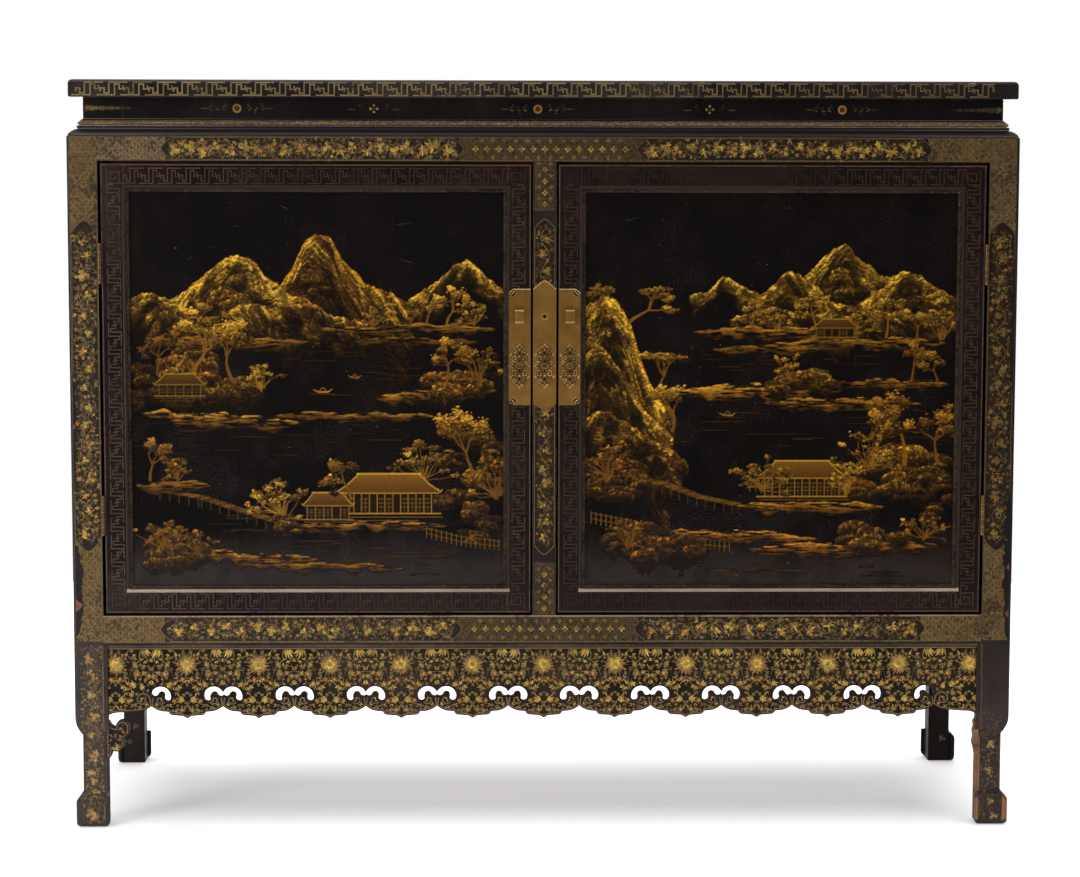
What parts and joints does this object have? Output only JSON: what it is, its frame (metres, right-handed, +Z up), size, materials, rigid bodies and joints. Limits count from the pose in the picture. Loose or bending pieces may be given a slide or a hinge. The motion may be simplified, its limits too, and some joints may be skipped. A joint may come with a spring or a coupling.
{
  "type": "cabinet on stand",
  "caption": "Low lacquered cabinet on integral legs, with side-hung panelled doors, a waisted top and a pierced, lobed apron.",
  "frame": {"origin": "on the floor, under the middle of the cabinet with its lock hardware", "axes": "+X to the right of someone facing the doors, doors facing -Y, +Z up"},
  "size_m": [1.3, 0.4616, 1.033],
  "materials": {
    "black_lacquer": "aged black lacquer over wood, satin, worn brown at the edges",
    "door_panel_lacquer": "polished black lacquer, semi-gloss",
    "gold_lacquer": "thin burnished gold paint, rubbed",
    "inner_wood": "red-brown stained wood, dull",
    "bare_wood": "bare reddish wood",
    "brass_fittings": "old brass, satin, tarnished"
  },
  "bodies": {
    "case": {"back_apron": "black_lacquer", "back_lower_rail": "black_lacquer", "back_muntin": "black_lacquer", "back_panel_left": "black_lacquer", "back_panel_right": "black_lacquer", "back_upper_rail": "black_lacquer", "bead_strips": "black_lacquer", "broken_bracket_stub": "bare_wood", "centre_lock_plate": "brass_fittings", "centre_muntin": "black_lacquer", "centre_plate_nails": "brass_fittings", "door_stops": "inner_wood", "end_scroll_brackets": "black_lacquer", "floor_battens": "inner_wood", "floor_board": "inner_wood", "front_apron": "black_lacquer", "front_lower_rail": "black_lacquer", "front_scroll_bracket": "black_lacquer", "front_upper_rail": "black_lacquer", "hinge_pins": "brass_fittings", "hinge_post_leaves": "brass_fittings", "left_apron": "black_lacquer", "left_end_panel": "black_lacquer", "left_lower_rail": "black_lacquer", "left_upper_rail": "black_lacquer", "neck_boards": "black_lacquer", "post_back_left": "black_lacquer", "post_back_right": "black_lacquer", "post_front_left": "black_lacquer", "post_front_right": "black_lacquer", "right_apron": "black_lacquer", "right_end_panel": "black_lacquer", "right_lower_rail": "black_lacquer", "right_upper_rail": "black_lacquer", "shelf": "inner_wood", "shelf_bearers": "inner_wood", "top_frame": "black_lacquer", "top_panel": "black_lacquer", "waist_moulding": "black_lacquer"},
    "left_door": {"left_door_hinge_leaves": "brass_fittings", "left_door_hinge_stile": "black_lacquer", "left_door_lock_plate": "brass_fittings", "left_door_lock_stile": "black_lacquer", "left_door_lower_rail": "black_lacquer", "left_door_panel": "door_panel_lacquer", "left_door_panel_moulding": "black_lacquer", "left_door_plate_nails": "brass_fittings", "left_door_staple": "brass_fittings", "left_door_upper_rail": "black_lacquer"},
    "right_door": {"right_door_hinge_leaves": "brass_fittings", "right_door_hinge_stile": "black_lacquer", "right_door_lock_plate": "brass_fittings", "right_door_lock_stile": "black_lacquer", "right_door_lower_rail": "black_lacquer", "right_door_panel": "door_panel_lacquer", "right_door_panel_moulding": "black_lacquer", "right_door_plate_nails": "brass_fittings", "right_door_staple": "brass_fittings", "right_door_upper_rail": "black_lacquer"}
  },
  "joints": [
    {"name": "left_door_hinge", "type": "hinge", "parent": "case", "child": "left_door", "pos_m": [-0.6065, -0.2226, 0.6105], "axis": [0, 0, -1], "range_deg": [0, 165]},
    {"name": "right_door_hinge", "type": "hinge", "parent": "case", "child": "right_door", "pos_m": [0.6065, -0.2226, 0.6105], "axis": [0, 0, 1], "range_deg": [0, 165]}
  ]
}
